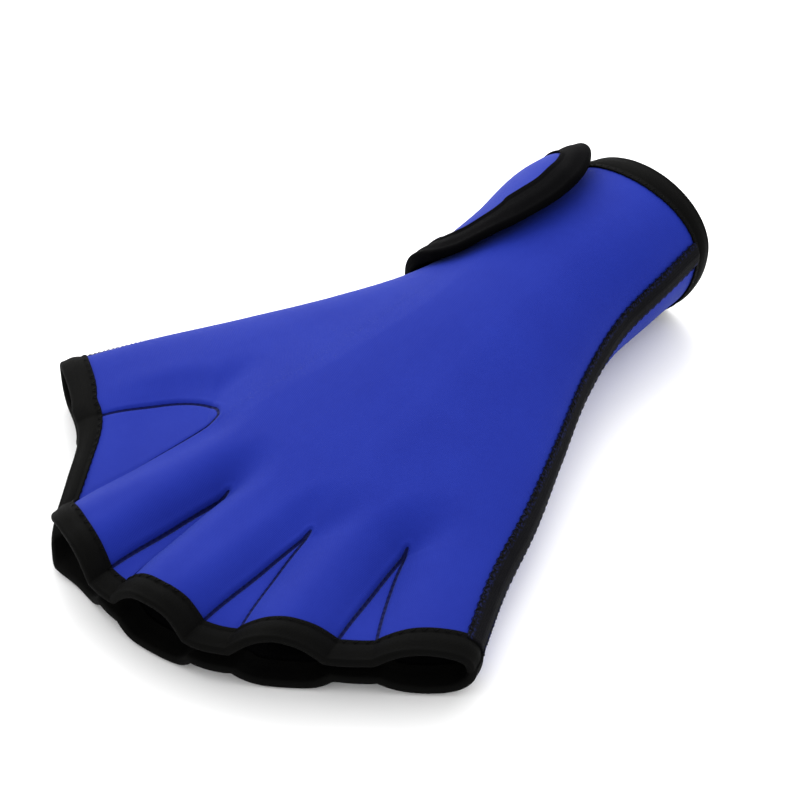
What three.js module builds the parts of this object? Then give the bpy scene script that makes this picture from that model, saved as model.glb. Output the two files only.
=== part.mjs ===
// Webbed swim glove of sewn neoprene, lying on its palm with the fingers spread.
// Millimetres, +Z up. The fingers point to -Y, the cuff to +Y and the thumb to -X.
import * as THREE from "three";

// Sizes of the glove as a whole
const gloveLength = 240; // cuff edge to the furthest finger opening
const fingerSpan = 201; // thumb edge to little finger edge, across the openings
const wristWidth = 57;
const wristHeight = 54; // over the cuff binding
const wristShift = 1; // the wrist's middle lies this far toward the little finger
const fingerSeamHeight = 11.5; // side seam above the table at the openings
const wristSeamHeight = 29;
const fingerCrown = 7; // back panel above the side seam at the openings

// Cloth and trim
const neoprene = 2.5;
const trim = 0.9; // thickness of the bindings and the tapes
const clearance = 0.35; // between two pieces that lie on each other
const bindingWidth = 8;
const tapeWidth = 7;
const slitBindingWidth = 5;
const padThickness = 2;
const flapBulge = 2; // how much further off the wrist the flap lies near the cuff
const flapGap = 0.65; // between the flap and its binding

// Shape of the finger tubes and webs
const tubeRound = 13; // distance from a web seam over which a tube rises to its full height
const tubeFullness = 2.2;
const valleyStretch = 0.4; // how much shorter a distance counts along the hand than across it
const webSag = 6; // how far the thumb web's front edge is set back
const palmPress = 0.8; // how far the palm is pressed flat where it rests
const palmReach = 4; // how far the palm panel reaches past the back panel at the index finger

// Sections from the finger openings (along 0) to the cuff (along 1). thumb, little, seam and
// crown are shares of the way from the openings' value to the wrist's. round is how square the
// panel's shoulders are.
const sections = [
  { along: 0, thumb: 0, little: 0.09, seam: 0, crown: 0, round: 3.5 },
  { along: 0.15, thumb: 0.16, little: 0.32, seam: 0, crown: 0.23, round: 2.8 },
  { along: 0.3, thumb: 0.385, little: 0.49, seam: 0.05, crown: 0.49, round: 2.2 },
  { along: 0.45, thumb: 0.635, little: 0.68, seam: 0.2, crown: 0.72, round: 1.8 },
  { along: 0.6, thumb: 0.845, little: 0.86, seam: 0.41, crown: 0.9, round: 1.4 },
  { along: 0.75, thumb: 0.915, little: 0.97, seam: 0.63, crown: 1.01, round: 1.2 },
  { along: 0.88, thumb: 0.93, little: 0.98, seam: 0.86, crown: 1.04, round: 1.1 },
  { along: 1, thumb: 1, little: 1, seam: 1, crown: 1, round: 1 },
];

// Front edge of the panels from the thumb edge (across -1) to the little finger edge (across 1).
// reach is the distance from the cuff as a share of the glove's length, and extra is what the palm
// panel's reach has on top of that, as a share of palmReach.
const frontEdge = [
  { across: -1, reach: 0.742, extra: 0 },
  { across: -0.72, reach: 0.813, extra: 0 },
  { across: -0.5, reach: 0.942, extra: 0.2 },
  { across: -0.2, reach: 0.983, extra: 0.3 },
  { across: 0.1, reach: 0.992, extra: 0.5 },
  { across: 0.4, reach: 0.968, extra: 0.4 },
  { across: 0.7, reach: 0.881, extra: 0.7 },
  { across: 1, reach: 0.781, extra: 0 },
];

// Webs between the fingers. from and to are the places of a web's two seams at the front edge, tip
// and depth are where they meet, bend and curl shape the two seams, blunt 1 is a pointed tip, and
// sag is a share of webSag, forward where it is negative.
const webs = [
  { from: -0.715, to: -0.383, tip: -0.36, depth: 0.268, bend: 1.2, curl: 6, blunt: 0.5, sag: 1 },
  { from: -0.067, to: 0.025, tip: 0.03, depth: 0.217, bend: 1, curl: 1, blunt: 1, sag: -0.4 },
  { from: 0.318, to: 0.435, tip: 0.41, depth: 0.212, bend: 1, curl: 1, blunt: 1, sag: -0.4 },
  { from: 0.662, to: 0.765, tip: 0.732, depth: 0.185, bend: 1, curl: 1, blunt: 1, sag: -0.4 },
];

// Slit on the thumb side of the wrist, in degrees round the wrist and shares along the glove
const slitStart = 0.66;
const slitTaper = 0.05;
const slitAngle = 10;
const slitEnd = 0.955;

// Closure flap: it is sewn to the palm panel and closes over the slit onto the back panel.
const flapFront = 0.6; // up to here it lies close on the glove
const flapSeamAngle = -42;
const flapSeamFrom = 0.63;
const flapSeamTo = 0.945;
const flapRiseAngle = -30; // from here on it lies over the closure pad
const flapOutline = [
  { angle: -22, along: 0.615 },
  { angle: 2, along: 0.604 },
  { angle: 24, along: 0.61 },
  { angle: 42, along: 0.635 },
  { angle: 53, along: 0.67 },
  { angle: 60, along: 0.712 },
  { angle: 68, along: 0.757 },
  { angle: 78, along: 0.806 },
  { angle: 84, along: 0.852 },
  { angle: 82, along: 0.9 },
  { angle: 73, along: 0.942 },
  { angle: 57, along: 0.972 },
  { angle: 36, along: 0.987 },
  { angle: 8, along: 0.99 },
  { angle: -20, along: 0.985 },
];

// Closure pad between the flap and the back panel
const pad = { fromAngle: 24, toAngle: 47, from: 0.77, to: 0.93 };

// How finely the pieces are divided
const tubeColumns = [4, 5, 5, 4, 4];
const webColumns = [3, 2, 2, 2];
const palmRows = 19;
const flapStations = 30;
const flapColumns = 8;

// Values worked out from the sizes
const layer = clearance + trim; // what a binding or a tape adds to a panel's face
const wristCrown = wristHeight - wristSeamHeight - layer;
const band = bindingWidth / (0.88 * gloveLength); // the binding's share of the glove's mean length
const webRoom = layer + clearance; // half of the room for two bindings between the panels of a web
const flapRest = flapGap + trim + clearance; // the flap's rise where it lies on the panel alone
const flapRise = clearance + padThickness + 2 * clearance; // and over the pad and the slit binding

const radians = (degrees) => (degrees * Math.PI) / 180;
const mix = (a, b, t) => a + (b - a) * t;
const limit = (x) => Math.min(1, Math.max(0, x));

function ease(from, to, x) {
  const t = limit((x - from) / (to - from));
  return t * t * (3 - 2 * t);
}

// Smooth curve through one column of a table, read at a place of its first column.
function read(table, key, column, at) {
  const last = table.length - 2;
  let i = 0;
  while (i < last && at > table[i + 1][key]) i += 1;
  const slope = (k) => (table[k + 1][column] - table[k][column]) / (table[k + 1][key] - table[k][key]);
  const tangent = (k) => {
    if (k === 0) return slope(0);
    if (k === table.length - 1) return slope(last);
    const before = table[k][key] - table[k - 1][key];
    const after = table[k + 1][key] - table[k][key];
    return (slope(k - 1) * after + slope(k) * before) / (before + after);
  };
  const step = table[i + 1][key] - table[i][key];
  const t = (at - table[i][key]) / step;
  const start = (1 + 2 * t) * table[i][column] + t * step * tangent(i);
  const end = (3 - 2 * t) * table[i + 1][column] + (t - 1) * step * tangent(i + 1);
  return (1 - t) * (1 - t) * start + t * t * end;
}

const section = (column, v) => read(sections, "along", column, v);

// The two seams of a web at a place along the glove, as places across it.
function webSeams(web, v) {
  const t = limit(v / web.depth);
  return [
    web.tip + (web.from - web.tip) * (1 - t ** web.bend) ** web.blunt,
    web.tip + (web.to - web.tip) * (1 - t ** web.curl) ** web.blunt,
  ];
}

function edges(v) {
  const middle = wristShift;
  return [
    mix(-fingerSpan / 2, middle - wristWidth / 2, section("thumb", v)),
    mix(fingerSpan / 2, middle + wristWidth / 2, section("little", v)),
  ];
}

// How far the front edge is set back at the webs.
function sagAt(s) {
  let sag = 0;
  for (const web of webs) {
    const half = (web.to - web.from) / 2 + 0.06;
    const t = (s - (web.from + web.to) / 2) / half;
    if (Math.abs(t) < 1) sag += webSag * web.sag * (1 - t * t) ** 1.5;
  }
  return sag;
}

// 0 on the webs and 1 on the tubes' crowns and on the palm, rising from each web's seams.
function fullness(s, v, halfWidth) {
  let full = 1;
  for (const web of webs) {
    const [low, high] = webSeams(web, v);
    const across = Math.max(0, low - s, s - high) * halfWidth;
    const beyond = Math.max(0, v - web.depth) * gloveLength * valleyStretch;
    const near = limit(Math.hypot(across, beyond) / tubeRound);
    full *= 1 - (1 - near) ** tubeFullness;
  }
  return full;
}

// Point of the glove's outer face. side 1 is the back of the glove and side -1 its palm, angle goes
// from the thumb seam (0) to the little finger seam (PI), and v from the openings to the cuff.
function face(side, angle, v) {
  if (angle < 0) return face(-side, -angle, v);
  if (angle > Math.PI) return face(-side, 2 * Math.PI - angle, v);
  const s = -Math.cos(angle);
  const [thumbX, littleX] = edges(v);
  const halfWidth = (littleX - thumbX) / 2;
  const extra = side < 0 ? palmReach * read(frontEdge, "across", "extra", s) : 0;
  const frontY = sagAt(s) - gloveLength * read(frontEdge, "across", "reach", s);
  const seam = mix(fingerSeamHeight, wristSeamHeight, section("seam", v));
  const crown = mix(fingerCrown, wristCrown, section("crown", v));
  const height = side > 0 ? crown : seam + palmPress;
  const shoulder = 1 - (1 - Math.sin(angle)) ** section("round", v);
  const web = neoprene + webRoom * (1 - ease(0.045, 0.14, v));
  const full = fullness(s, v, halfWidth);
  const rise = full * height * shoulder + (1 - full) * web;
  const floor = layer * (1 - ease(0.045, 0.12, v) + ease(0.88, 0.95, v));
  const z = seam + side * rise;
  return new THREE.Vector3(
    (thumbX + littleX) / 2 + halfWidth * s,
    frontY * (1 - v) - extra * (1 - ease(0, 0.25, v)),
    side > 0 ? z : Math.max(z, floor),
  );
}

// Outward direction, and the face's length for each radian round it and for each unit along it.
function frameAt(side, angle, v) {
  const da = 0.02;
  const dv = 0.005;
  const round = face(side, angle + da, v).sub(face(side, angle - da, v));
  const along = face(side, angle, v + dv).sub(face(side, angle, v - dv));
  const out = new THREE.Vector3().crossVectors(round, along).multiplyScalar(side).normalize();
  return { out, perRadian: round.length() / (2 * da), perUnit: along.length() / (2 * dv) };
}

// Point at a height above the outer face. apart parts the two panels where their edges meet.
function above(side, angle, v, height, apart = 0) {
  const point = face(side, angle, v);
  point.addScaledVector(frameAt(side, angle, v).out, height);
  point.z += side * apart;
  return point;
}

// Closed solid between two grids of points with the same rows and columns.
function slab(outer, inner) {
  const rows = outer.length;
  const columns = outer[0].length;
  const size = rows * columns;
  const points = [...outer.flat(), ...inner.flat()];
  const triangles = [];
  const quad = (a, b, c, d) => {
    const short = points[a].distanceTo(points[c]) <= points[b].distanceTo(points[d]);
    triangles.push(...(short ? [a, b, c, a, c, d] : [a, b, d, b, c, d]));
  };
  const at = (i, j) => i * columns + j;
  for (let i = 0; i < rows - 1; i++) {
    for (let j = 0; j < columns - 1; j++) {
      quad(at(i, j), at(i, j + 1), at(i + 1, j + 1), at(i + 1, j));
      quad(size + at(i, j), size + at(i + 1, j), size + at(i + 1, j + 1), size + at(i, j + 1));
    }
  }
  for (let j = 0; j < columns - 1; j++) {
    quad(at(0, j + 1), at(0, j), size + at(0, j), size + at(0, j + 1));
    quad(at(rows - 1, j), at(rows - 1, j + 1), size + at(rows - 1, j + 1), size + at(rows - 1, j));
  }
  for (let i = 0; i < rows - 1; i++) {
    quad(at(i, 0), at(i + 1, 0), size + at(i + 1, 0), size + at(i, 0));
    const [here, next] = [at(i, columns - 1), at(i + 1, columns - 1)];
    quad(next, here, size + here, size + next);
  }
  if (volume(points, triangles) < 0) triangles.reverse();
  const geometry = new THREE.BufferGeometry().setFromPoints(points);
  geometry.setIndex(triangles);
  geometry.computeVertexNormals();
  return geometry;
}

function volume(points, triangles) {
  let sum = 0;
  for (let i = 0; i < triangles.length; i += 3) {
    const [a, b, c] = [0, 1, 2].map((k) => points[triangles[i + k]]);
    sum += a.dot(new THREE.Vector3().crossVectors(b, c)) / 6;
  }
  return sum;
}

// Angle of the place that lies a distance round the face from where another angle is.
function angleAtDistance(side, start, v, distance) {
  const steps = 8;
  let angle = start;
  for (let i = 0; i < steps; i++) angle += distance / steps / frameAt(side, angle, v).perRadian;
  return angle;
}

// Angles of a panel's columns at a place along the glove. The first and last strips are as wide as
// half a tape. The others follow the webs' seams at the front and even out toward the cuff.
function columnAngles(side, v) {
  const edge = side > 0 ? slitEdge(v) : 0;
  const first = angleAtDistance(side, edge, v, tapeWidth / 2);
  const last = angleAtDistance(side, Math.PI, v, -tapeWidth / 2);
  const stops = [first];
  for (const web of webs) {
    const [low, high] = webSeams(web, v);
    const spare = Math.max(0, 0.25 * (web.to - web.from) - (high - low)) / 2;
    stops.push(Math.acos(spare - low), Math.acos(-high - spare));
  }
  stops.push(last);
  const angles = [first];
  for (let k = 0; k < stops.length - 1; k++) {
    const count = k % 2 === 0 ? tubeColumns[k / 2] : webColumns[(k - 1) / 2];
    for (let i = 1; i <= count; i++) angles.push(mix(stops[k], stops[k + 1], i / count));
  }
  const count = angles.length - 1;
  const even = (i) => mix(first, last, i / count);
  return [edge, ...angles.map((angle, i) => mix(angle, even(i), ease(0.3, 1, v))), Math.PI];
}

const slitEdge = (v) => radians(slitAngle) * ease(slitStart, slitStart + slitTaper, v);

const panelRows = [0];
for (let i = 0; i <= palmRows; i++) panelRows.push(mix(band, 1 - band, (i / palmRows) ** 1.15));
panelRows.push(1);

function panel(side) {
  const grid = (height) =>
    panelRows.map((v) =>
      columnAngles(side, v).map((angle) => above(side, angle, v, height, clearance / 2)),
    );
  return slab(grid(0), grid(-neoprene));
}

// Section of a binding folded over an edge: distance in from the edge and height above the face.
function foldedBinding(width, gap = clearance) {
  const path = (out) => [
    [width, -neoprene - out],
    [0, -neoprene - out],
    [-out, -0.8 * neoprene],
    [-out, -0.2 * neoprene],
    [0, out],
    [width, out],
  ];
  return { inner: path(gap), outer: path(gap + trim) };
}

// Share of the glove's length for a distance in from its front or cuff edge.
const inwardShare = (inward) => (inward > 0 ? (band * inward) / bindingWidth : inward / gloveLength);

function frontBinding(side) {
  const { inner, outer } = foldedBinding(bindingWidth);
  const grid = (path) =>
    path.map(([inward, height]) =>
      columnAngles(side, Math.max(0, inwardShare(inward))).map((angle) =>
        above(side, angle, inwardShare(inward), height, clearance / 2),
      ),
    );
  return slab(grid(outer), grid(inner));
}

function cuffBinding() {
  const { inner, outer } = foldedBinding(bindingWidth);
  const ring = (inward, height) => {
    const v = 1 - inwardShare(inward);
    const half = (side) =>
      columnAngles(side, Math.min(1, v)).map((angle) => above(side, angle, v, height));
    return [...half(1), ...half(-1).reverse().slice(1, -1)];
  };
  const grid = (path) => path.map(([inward, height]) => ring(inward, height));
  return slab(grid(outer), grid(inner));
}

// Tape over a side seam between two places along the glove.
function sideTape(seamAngle, from, to) {
  const places = [from, ...panelRows.filter((v) => v > from + 0.01 && v < to - 0.01), to];
  const grid = (height) =>
    places.map((v) =>
      [-0.5, 0, 0.5].map((share) => {
        const angle = angleAtDistance(1, seamAngle, v, share * tapeWidth);
        return above(1, angle, v, height);
      }),
    );
  return slab(grid(layer), grid(clearance));
}

function slitBinding() {
  const { inner, outer } = foldedBinding(slitBindingWidth);
  const places = panelRows.filter((v) => v >= slitStart + slitTaper && v <= slitEnd);
  const grid = (path) =>
    places.map((v) => {
      const { perRadian } = frameAt(1, slitEdge(v), v);
      return path.map(([inward, height]) =>
        above(1, slitEdge(v) + inward / perRadian, v, height, clearance / 2),
      );
    });
  return slab(grid(outer), grid(inner));
}

// Height of the flap's inner face above the glove.
function flapHeight(angle, v) {
  const lifted = flapRise + flapBulge * ease(slitStart, 0.9, v);
  const rise = mix(flapRest, lifted, ease(flapFront, slitStart + slitTaper, v));
  return clearance + rise * ease(radians(flapSeamAngle), radians(flapRiseAngle), angle);
}

// Place of the flap's outline, with the direction inward from it, for a share of the way round.
function flapEdge(share) {
  const last = flapOutline.length - 1;
  const rows = flapOutline.map((row, i) => ({ turn: i / last, ...row }));
  const place = (t) => ({
    angle: radians(read(rows, "turn", "angle", t)),
    along: read(rows, "turn", "along", t),
  });
  const here = place(share);
  const { perRadian, perUnit } = frameAt(1, radians(30), 0.8);
  const before = place(share - 0.01);
  const after = place(share + 0.01);
  const round = (after.angle - before.angle) * perRadian;
  const along = (after.along - before.along) * perUnit;
  const length = Math.hypot(round, along);
  return {
    ...here,
    inwardAngle: -along / length / perRadian,
    inwardAlong: round / length / perUnit,
  };
}

const flapShares = Array.from({ length: flapStations + 1 }, (_, i) => i / flapStations);

function closureFlap() {
  const grid = (height) =>
    flapShares.map((share) => {
      const edge = flapEdge(share);
      const row = [];
      const [seam, rise] = [radians(flapSeamAngle), radians(flapRiseAngle)];
      const angles = [seam, mix(seam, rise, 0.5)];
      for (let j = 0; j <= flapColumns; j++) angles.push(mix(rise, edge.angle, j / flapColumns));
      for (const angle of angles) {
        const t = (angle - seam) / (edge.angle - seam);
        const along = mix(mix(flapSeamFrom, flapSeamTo, share), edge.along, t);
        row.push(above(1, angle, along, flapHeight(angle, along) + height));
      }
      return row;
    });
  return slab(grid(neoprene), grid(0));
}

function flapBinding() {
  const { inner, outer } = foldedBinding(bindingWidth, flapGap);
  const grid = (path) =>
    flapShares.map((share) => {
      const edge = flapEdge(share);
      return path.map(([inward, height]) => {
        const angle = edge.angle + inward * edge.inwardAngle;
        const along = edge.along + inward * edge.inwardAlong;
        return above(1, angle, along, flapHeight(angle, along) + neoprene + height);
      });
    });
  return slab(grid(outer), grid(inner));
}

function closurePad() {
  const grid = (height) => {
    const rows = [];
    for (let i = 0; i <= 6; i++) {
      const row = [];
      for (let j = 0; j <= 3; j++) {
        const angle = radians(mix(pad.fromAngle, pad.toAngle, j / 3));
        row.push(above(1, angle, mix(pad.from, pad.to, i / 6), height, clearance / 2));
      }
      rows.push(row);
    }
    return rows;
  };
  return slab(grid(clearance + padThickness), grid(clearance));
}

const neopreneBlue = new THREE.MeshStandardMaterial({ color: 0x3443b5, roughness: 0.8, metalness: 0 });
const bindingBlack = new THREE.MeshStandardMaterial({ color: 0x12130e, roughness: 0.9, metalness: 0 });
const tapeBlack = new THREE.MeshStandardMaterial({ color: 0x191a16, roughness: 0.85, metalness: 0 });
const padBlack = new THREE.MeshStandardMaterial({ color: 0x1c1c1c, roughness: 0.95, metalness: 0 });

const frontTrim = band + (2 * clearance) / gloveLength; // where the tapes start, past the binding
const pieces = [
  ["back_panel", panel(1), neopreneBlue],
  ["palm_panel", panel(-1), neopreneBlue],
  ["front_binding_back", frontBinding(1), bindingBlack],
  ["front_binding_palm", frontBinding(-1), bindingBlack],
  ["side_tape_little_finger", sideTape(Math.PI, frontTrim, 1 - frontTrim), tapeBlack],
  ["side_tape_thumb", sideTape(0, frontTrim, flapFront - 0.03), tapeBlack],
  ["cuff_binding", cuffBinding(), bindingBlack],
  ["slit_binding", slitBinding(), bindingBlack],
  ["closure_flap", closureFlap(), neopreneBlue],
  ["flap_binding", flapBinding(), bindingBlack],
  ["closure_pad", closurePad(), padBlack],
];

const glove = new THREE.Group();
for (const [name, geometry, material] of pieces) {
  const mesh = new THREE.Mesh(geometry, material.clone());
  mesh.name = name;
  glove.add(mesh);
}

// The origin is the middle of the glove's footprint, on the table.
const box = new THREE.Box3().setFromObject(glove, true);
const centre = box.getCenter(new THREE.Vector3());
glove.position.set(-centre.x, -centre.y, -box.min.z);

const part = new THREE.Group();
part.add(glove);
export default part;
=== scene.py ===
# %% [markdown]
# # A webbed swim glove
# The real glove is sewn from two neoprene panels, a back and a palm, with an elastic binding folded
# over every raw edge, a woven tape over the side seams and a flap that closes the wrist. This lesson
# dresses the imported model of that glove. Each piece is worked out as a surface of two parameters
# with numpy, so that it follows the construction's own formulas, only on a much finer grid.

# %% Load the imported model
import math
from functools import partial

import bpy
import numpy as np
from mathutils import Matrix, Vector


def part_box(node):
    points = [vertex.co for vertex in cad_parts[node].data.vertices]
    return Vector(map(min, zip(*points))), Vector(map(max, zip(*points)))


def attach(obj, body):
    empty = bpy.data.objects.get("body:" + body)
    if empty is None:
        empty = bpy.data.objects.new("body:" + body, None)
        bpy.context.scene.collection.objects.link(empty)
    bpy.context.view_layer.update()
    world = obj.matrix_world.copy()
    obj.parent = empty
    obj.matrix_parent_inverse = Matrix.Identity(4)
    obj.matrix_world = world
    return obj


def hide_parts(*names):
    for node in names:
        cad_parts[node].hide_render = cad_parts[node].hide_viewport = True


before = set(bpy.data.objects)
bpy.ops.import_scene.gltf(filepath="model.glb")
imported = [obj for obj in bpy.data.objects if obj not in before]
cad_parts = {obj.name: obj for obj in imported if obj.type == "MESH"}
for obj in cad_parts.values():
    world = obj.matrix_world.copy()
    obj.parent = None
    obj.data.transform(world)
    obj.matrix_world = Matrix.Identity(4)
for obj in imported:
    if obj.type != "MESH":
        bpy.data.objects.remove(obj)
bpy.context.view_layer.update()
print("nodes of the packed model:", sorted(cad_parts))

# %% [markdown]
# ## The glove's form
# Everything hangs on one formula, the outer face of the glove. It takes the side (the back or the
# palm), an angle that runs from the thumb seam to the little finger seam, and the share of the way
# from the finger openings to the cuff. Sizes are in millimetres here and become metres only when a
# mesh is made. The tables hold shares of the named sizes, as in the construction.

# %% Sizes of the glove
glove_length, finger_span = 240.0, 201.0
wrist_width, wrist_height, wrist_shift = 57.0, 54.0, 1.0
finger_seam_height, wrist_seam_height, finger_crown = 11.5, 31.5, 7.0
neoprene, trim, clearance = 2.5, 0.9, 0.35
bound_neoprene, strip_gap = 1.15, 0.15
binding_width, tape_width, slit_binding_width, pad_thickness = 7.4, 8.8, 5.0, 2.0
tube_round, tube_fullness, valley_stretch = 13.0, 2.2, 0.5
slope_end = 0.93
web_sag, palm_press, palm_reach, web_drop = 6.0, 0.8, 4.0, 1.8
flap_bulge, flap_gap = 3.4, 0.65
layer = clearance + trim
wrist_crown = wrist_height - wrist_seam_height - layer
front_length, cuff_length = 0.88 * glove_length, 0.9 * glove_length
band = binding_width / front_length
web_room = layer + clearance
MM = 0.001
every_second = (slice(None, None, 2), slice(None, None, 2))

# %% Tables of sections, front edge and webs
sections = {
    "along": [0, 0.15, 0.3, 0.45, 0.6, 0.75, 0.88, 1],
    "thumb": [0, 0.16, 0.385, 0.635, 0.845, 0.915, 0.93, 1],
    "little": [0.122, 0.325, 0.49, 0.68, 0.86, 0.97, 0.98, 1],
    "seam": [0, 0, 0.05, 0.2, 0.41, 0.63, 0.86, 1],
    "crown": [0, 0.23, 0.49, 0.72, 0.9, 1.01, 1.04, 1],
    "round": [3.5, 2.8, 2.2, 1.8, 1.4, 1.2, 1.1, 1],
}
front_edge = {
    "across": [-1, -0.718, -0.495, -0.192, 0.112, 0.416, 0.719, 1],
    "reach": [0.746, 0.818, 0.935, 0.995, 1.004, 0.972, 0.887, 0.783],
    "extra": [0, 0, 1.2, -0.6, -0.3, -0.4, -0.7, -0.3],
    "lift": [0.5, -1, 4.5, 5, 5, 4.8, 3, 2],
}
web_table = {
    "low": [-0.689, -0.069, 0.318, 0.682], "high": [-0.386, 0.03, 0.444, 0.789],
    "tip": [-0.42, -0.065, 0.375, 0.692], "depth": [0.252, 0.222, 0.217, 0.217],
    "bend": [1.2, 1, 1, 1], "curl": [6, 1, 1, 1], "blunt": [0.56, 1, 1, 1],
    "sag": [1.5, -0.1, -0.3, -0.2], "rise": [6.5, 0.5, 5, 1.5],
}
webs = [dict(zip(web_table, row)) for row in zip(*web_table.values())]
flap_outline = {
    "angle": [-22, 2, 24, 42, 53, 60.5, 68, 76, 80.5, 79, 70.5, 56, 36, 8, -20],
    "along": [0.603, 0.591, 0.597, 0.623, 0.662, 0.707, 0.754, 0.803, 0.847, 0.892, 0.932, 0.961,
              0.975, 0.98, 0.976],
}
flap_outline["turn"] = np.linspace(0, 1, len(flap_outline["angle"])).tolist()
slit_start, slit_taper, slit_angle, slit_end = 0.66, 0.05, math.radians(10), 0.955
flap_front, flap_seam, flap_seam_from, flap_seam_to = 0.6, math.radians(-42), 0.63, 0.945
flap_rise_angle = math.radians(-30)
web_zone, drop_zone, floor_zone, cuff_zone = (0.045, 0.14), (0.02, 0.12), (0.045, 0.12), (0.88, 0.95)
lift_end = 0.25
print("webs:", len(webs), "sections:", len(sections["along"]))


# %% Smooth curves through the tables
def ease(low, high, x):
    """0 below low, 1 above high, and a smooth cubic step between them."""
    t = np.clip((x - low) / (high - low), 0, 1)
    return t * t * (3 - 2 * t)


def mix(a, b, t):
    """The value a share t of the way from a to b."""
    return a + (b - a) * t


def read(table, key, column, at):
    """A cubic curve through each pair of rows, whose slope at a row is that of the parabola through
    the row and its two neighbours."""
    x, y = np.array(table[key], float), np.array(table[column], float)
    step = np.diff(x)
    slope = np.diff(y) / step
    inner = (slope[:-1] * step[1:] + slope[1:] * step[:-1]) / (step[1:] + step[:-1])
    tangent = np.concatenate([slope[:1], inner, slope[-1:]])
    i = np.clip(np.searchsorted(x, at) - 1, 0, len(step) - 1)
    t = (at - x[i]) / step[i]
    start = (1 + 2 * t) * y[i] + t * step[i] * tangent[i]
    end = (3 - 2 * t) * y[i + 1] + (t - 1) * step[i] * tangent[i + 1]
    return (1 - t) ** 2 * start + t * t * end


def travelled(points):
    """Distance along lines of points from their first point. The lines run down the rows."""
    step = np.linalg.norm(np.diff(points, axis=0), axis=-1)
    return np.concatenate([np.zeros_like(step[:1]), step.cumsum(axis=0)])


def unit(vectors):
    """The vectors divided by their lengths."""
    return vectors / np.linalg.norm(vectors, axis=-1, keepdims=True)


def section(column, v):
    """One column of the section table, read along the glove."""
    return read(sections, "along", column, v)


# %% The webs' seams and the tubes between them
def web_seams(web, v):
    """The places across the glove of a web's two seams. They start apart at the front edge and meet
    at the web's tip, each as tip + (start - tip) * (1 - t^bend)^blunt."""
    t = np.clip(v / web["depth"], 0, 1)
    low = web["tip"] + (web["low"] - web["tip"]) * (1 - t ** web["bend"]) ** web["blunt"]
    high = web["tip"] + (web["high"] - web["tip"]) * (1 - t ** web["curl"]) ** web["blunt"]
    return low, high


def edges(v):
    """The x of the thumb edge and of the little finger edge."""
    thumb = mix(-finger_span / 2, wrist_shift - wrist_width / 2, section("thumb", v))
    little = mix(finger_span / 2, wrist_shift + wrist_width / 2, section("little", v))
    return thumb, little


def sag_at(s):
    """How far the front edge is set back: a bump of (1 - t^2)^1.5 at each web."""
    sag = 0
    for web in webs:
        half = (web["high"] - web["low"]) / 2 + 0.06
        t = np.clip((s - (web["low"] + web["high"]) / 2) / half, -1, 1)
        sag = sag + web_sag * web["sag"] * (1 - t * t) ** 1.5
    return sag


def beside_web(web, s, v):
    """How far s lies outside a web. From a little before its tip on, the web keeps its width."""
    low, high = web_seams(web, np.minimum(v, slope_end * web["depth"]))
    return np.maximum(0, np.maximum(low - s, s - high))


def fullness(s, v, half_width):
    """0 on a web, rising to 1 on a tube's crown as 1 - (1 - distance / tube_round)^tube_fullness.
    The slope goes round a web's tip."""
    full = 1.0
    for web in webs:
        across = beside_web(web, s, v) * half_width
        beyond = np.maximum(0, v - slope_end * web["depth"]) * glove_length * valley_stretch
        near = np.clip(np.hypot(across, beyond) / tube_round, 0, 1)
        full = full * (1 - (1 - near) ** tube_fullness)
    return full


def web_rise(s, v):
    """How far the webs climb toward their tips: each web's rise times v / depth, blended between
    webs by exp(-(away / 0.08)^2)."""
    total, weight = 0, 0
    for web in webs:
        near = np.exp(-((beside_web(web, s, v) / 0.08) ** 2))
        total = total + near * web["rise"] * np.clip(v / web["depth"], 0, 1)
        weight = weight + near
    return total / np.maximum(weight, 1)


def edge_length(s):
    """Millimetres from the front edge to the cuff at a place across, as v counts them."""
    return glove_length * read(front_edge, "across", "reach", s) - sag_at(s)


def smooth_max(a, b, blend):
    """The larger of two numbers, rounded where they meet: (a + b + sqrt((a - b)^2 + blend^2)) / 2."""
    return (a + b + np.sqrt((a - b) ** 2 + blend**2)) / 2


def keep_up(points, lowest=0.0, blend=0.5):
    """The points, kept above the table by smooth_max."""
    points[..., 2] = smooth_max(points[..., 2], lowest, blend)
    return points


# %% The outer face and its outward direction
def face(side, angle, v):
    """A point of the glove's outer face. Across, x follows -cos(angle) between the two edges. Along,
    y runs from the front edge to the cuff. Up, z leaves the side seam's height by a rounded dome
    that is pressed flat where the palm lies on the table."""
    side, angle, v = np.broadcast_arrays(np.asarray(side, float), angle, v)
    over = (angle < 0) | (angle > math.pi)
    side = np.where(over, -side, side)
    angle = np.where(angle < 0, -angle, np.where(angle > math.pi, 2 * math.pi - angle, angle))
    s = -np.cos(angle)
    thumb, little = edges(v)
    half_width = (little - thumb) / 2
    extra = np.where(side < 0, palm_reach * read(front_edge, "across", "extra", s), 0)
    seam = mix(finger_seam_height, wrist_seam_height, section("seam", v))
    crown = mix(finger_crown, wrist_crown, section("crown", v))
    height = np.where(side > 0, crown, seam + palm_press)
    shoulder = 1 - (1 - np.sin(angle)) ** section("round", v)
    web = neoprene + web_room * (1 - ease(*web_zone, v))
    web = web + np.where(side > 0, web_rise(s, v), web_drop * (1 - ease(*drop_zone, v)))
    full = fullness(s, v, half_width)
    lift = read(front_edge, "across", "lift", s) * (1 - ease(0, lift_end, v))
    height = height + np.where(side > 0, lift, 0)
    rise = full * height * shoulder + (1 - full) * web
    floor = layer * (1 - ease(*floor_zone, v) + ease(*cuff_zone, v))
    z = seam + side * rise
    return np.stack([
        (thumb + little) / 2 + half_width * s,
        -edge_length(s) * (1 - v) - extra * (1 - ease(0, lift_end, v)),
        np.where(side > 0, z, smooth_max(z, floor, 1.2)),
    ], axis=-1)


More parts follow.
